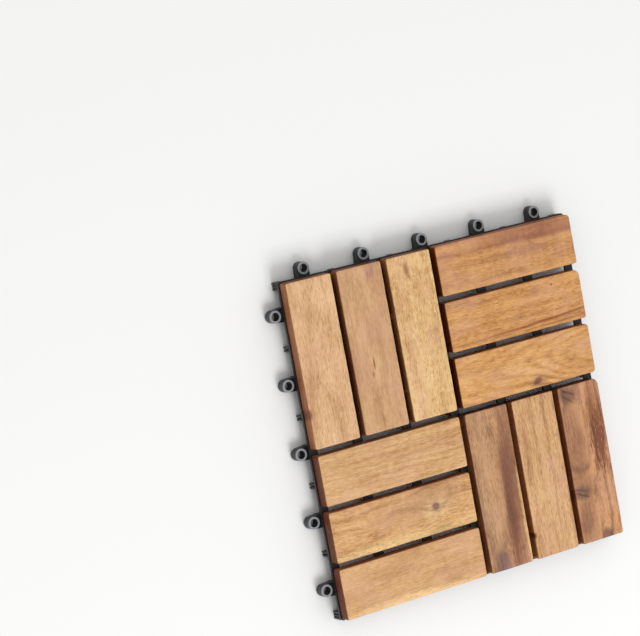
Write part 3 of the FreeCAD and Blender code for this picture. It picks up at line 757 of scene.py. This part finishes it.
def acacia(name, slat, lie):
    """Oiled acacia for one slat, from its row of the table."""
    material, tree, shader = new_material(name)
    top, along_x = lie
    place = along_slat(tree, top, along_x)
    flow = wavering(tree, place, slat)
    grain = grain_of(tree, flow, slat)
    both = add(tree, "Math", {0: grain["fibre"], 1: grain["stroke"]}, operation="ADD")
    strokes = add(tree, "Math", {0: both, 1: 0.5}, operation="MULTIPLY")
    marks, rings_at, ring_share = marks_of(tree, place, flow, strokes, grain["strand"], slat, lie)
    tone = tone_of(tree, rings_of(tree, rings_at, slat), ring_share, grain, slat)
    vessels = vessels_of(tree, flow, slat)
    colour = colour_of(tree, flow, tone, marks, vessels, slat)
    # Painted shade on the sides, and the end grain's own darker colour on the ends.
    side_shade_and_end_grain_colour = side_shade_and_end_grain(tree, colour, along_x)
    tree.links.new(side_shade_and_end_grain_colour.outputs[0], shader.inputs["Base Color"])

    # Sanded, oiled wood gives the eye a soft satin that breaks up along the grain.
    gloss = add(tree, "MapRange", {"Value": tone, "From Min": TONE_LOW, "From Max": TONE_HIGH,
                                   "To Min": 0.44, "To Max": 0.6})
    tree.links.new(gloss.outputs[0], shader.inputs["Roughness"])
    shader.inputs["IOR"].default_value = 1.47
    shader.inputs["Specular IOR Level"].default_value = 0.35
    relief = add(tree, "Math", {0: vessels, 1: -VESSEL_DEPTH, 2: strokes},
                 operation="MULTIPLY_ADD")
    bump = add(tree, "Bump", {"Height": relief, "Strength": 0.4, "Distance": GRAIN_DEPTH})
    tree.links.new(bump.outputs[0], shader.inputs["Normal"])
    return material


for node_name, slat in SLATS.items():
    material = acacia(node_name.replace("slat", "oiled_acacia"), slat, lie_of(node_name))
    dress(boards[node_name], material)
    print(material.name, "has", len(material.node_tree.nodes), "nodes")

# %% [markdown]
# ## The moulded base
# The lattice is black polypropylene, moulded in one shot. Plain black would look like a hole in the
# picture. The real skin is slightly waxy and has a fine spark-eroded grain from the mould, so it
# catches the light in a soft grey.

# %% Black polypropylene
GRAINS_PER_MM = 2.2
CLOUDS_PER_MM = 0.05
SKIN_DEPTH = 0.05 * MM

plastic, tree, shader = new_material("moulded_polypropylene")
in_mm = in_millimetres(tree)
grain = add(tree, "TexNoise", {"Vector": in_mm, "Scale": GRAINS_PER_MM, "Detail": 3.0})
cloud = add(tree, "TexNoise", {"Vector": in_mm, "Scale": CLOUDS_PER_MM, "Detail": 3.0})
black = add(tree, "ValToRGB", {"Fac": cloud})
stops = black.color_ramp.elements
stops[0].position, stops[0].color = 0.3, linear("#0E0F11")
stops[1].position, stops[1].color = 0.75, linear("#17181A")

# Moulded polypropylene gives the eye a low, waxy gloss, broken up by its grain.
rough = add(tree, "MapRange", {"Value": grain, "From Min": 0.3, "From Max": 0.7,
                               "To Min": 0.3, "To Max": 0.42})
tree.links.new(rough.outputs[0], shader.inputs["Roughness"])
shader.inputs["IOR"].default_value = 1.49
skin = add(tree, "Bump", {"Height": grain, "Strength": 0.3, "Distance": SKIN_DEPTH})
tree.links.new(skin.outputs[0], shader.inputs["Normal"])
print("grains", round(1 / GRAINS_PER_MM, 2), "mm wide, clouds", 1 / CLOUDS_PER_MM, "mm wide")

# %% [markdown]
# ## Painted highlights on the rims
# The loops' upper rims are painted pale grey: a painted highlight where they catch the light. The
# rims could be painted by hand, but their height and place say exactly where they are: they alone
# stand so high outside the band. The painted highlight breaks up along the plastic's own grain.

# %% Painted highlights on the loops
BAND_EDGE = 149.3
RIM_LOW, RIM_HIGH = 9.4, 9.75

reach = add(tree, "SeparateXYZ", {"Vector": in_mm})
leftwards = add(tree, "Math", {0: reach.outputs["X"], 1: -1.0}, operation="MULTIPLY")
furthest = add(tree, "Math", {0: leftwards, 1: reach.outputs["Y"]}, operation="MAXIMUM")
outside = add(tree, "Math", {0: furthest, 1: BAND_EDGE}, operation="GREATER_THAN")
on_rim = add(tree, "MapRange", {"Value": reach.outputs["Z"], "From Min": RIM_LOW,
                                "From Max": RIM_HIGH})
# The plastic's grain breaks up the painted highlight on the rims.
highlight_breakup = add(tree, "MapRange", {"Value": grain, "From Min": 0.2, "From Max": 0.6,
                                "To Min": 0.55, "To Max": 1.0})
rim_outside = add(tree, "Math", {0: outside, 1: on_rim}, operation="MULTIPLY")
painted_rim_highlight = add(tree, "Math", {0: rim_outside, 1: highlight_breakup}, operation="MULTIPLY")
# Painted highlight: the rims outside the band are mixed towards pale grey #9A9DA1, as if lit.
skin_and_rim_highlight = add(tree, "MixRGB", {"Fac": painted_rim_highlight, "Color1": black, "Color2": linear("#9A9DA1")})
tree.links.new(skin_and_rim_highlight.outputs[0], shader.inputs["Base Color"])
dress(moulding, plastic)
print(plastic.name, "has", len(tree.nodes), "nodes")

# %% [markdown]
# ## The screws
# Zinc-plated steel screws come up from below. A smooth metal would mirror the floor like chrome,
# but the plating is thin and milky, so it is a dull metal with a faint mottle.

# %% Zinc-plated steel
MOTTLES_PER_MM = 0.9

zinc, tree, shader = new_material("zinc_plated_steel")
in_mm = in_millimetres(tree)
mottle = add(tree, "TexNoise", {"Vector": in_mm, "Scale": MOTTLES_PER_MM, "Detail": 4.0})
grey = add(tree, "ValToRGB", {"Fac": mottle})
stops = grey.color_ramp.elements
stops[0].position, stops[0].color = 0.3, linear("#A9ABA8")
stops[1].position, stops[1].color = 0.7, linear("#C9C8C0")
tree.links.new(grey.outputs[0], shader.inputs["Base Color"])

# Thin zinc plating gives the eye a milky metal: light and dark show in it, but no picture.
shader.inputs["Metallic"].default_value = 1.0
rough = add(tree, "MapRange", {"Value": mottle, "From Min": 0.3, "From Max": 0.7,
                               "To Min": 0.3, "To Max": 0.45})
tree.links.new(rough.outputs[0], shader.inputs["Roughness"])
dress(screws, zinc)
print(zinc.name, "has", len(tree.nodes), "nodes")

# %% [markdown]
# ## The floor
# The tile lies on a plain pale floor, which takes its shadow. A curved backdrop would hide the
# horizon, but a camera that looks down never sees one, so a large flat plane is enough.

# %% A pale floor
FLOOR_SIZE = 12.0

bpy.ops.object.select_all(action="DESELECT")
bpy.ops.mesh.primitive_plane_add(size=FLOOR_SIZE, location=(0, 0, 0))
floor = bpy.context.object
floor.name = "floor"
paper, tree, shader = new_material("pale_floor")
shader.inputs["Base Color"].default_value = linear("#F8F8F7")

# Matt paper gives the eye a soft shadow and no reflection.
shader.inputs["Roughness"].default_value = 0.9
shader.inputs["Specular IOR Level"].default_value = 0.1
dress(floor, paper)
print("the floor is", FLOOR_SIZE, "m wide")

# %% [markdown]
# ## The light
# One large soft lamp stands high in front of the tile, opposite the rear loops. It leaves the
# slats' rear edges and the walls of the gaps dark, as in the photograph, and an even white world
# fills in. Several lamps would light each gap from somewhere and flatten the tile. The colours are
# shown as they are, without a film look.

# %% World, lamp and view
WORLD_STRENGTH = 0.7
LAMP_SIZE = 1.6
LAMP_PLACE = Vector((0.0, -2.2, 2.6))
LAMP_WATTS = 52.5

world = bpy.data.worlds.new("studio")
world.use_nodes = True
bpy.context.scene.world = world
sky = world.node_tree.nodes["Background"]
sky.inputs["Color"].default_value = (1.0, 1.0, 1.0, 1.0)
sky.inputs["Strength"].default_value = WORLD_STRENGTH

lamp_data = bpy.data.lights.new("softbox", "AREA")
lamp_data.shape = "SQUARE"
lamp_data.size = LAMP_SIZE
lamp_data.energy = LAMP_WATTS
lamp = bpy.data.objects.new("softbox", lamp_data)
bpy.context.scene.collection.objects.link(lamp)
lamp.location = LAMP_PLACE
lamp.rotation_mode = "QUATERNION"
lamp.rotation_quaternion = (-LAMP_PLACE).to_track_quat("-Z", "Y")

bpy.context.scene.view_settings.view_transform = "Standard"
print("a lamp of", LAMP_WATTS, "W,", round(LAMP_PLACE.length, 2), "m away")
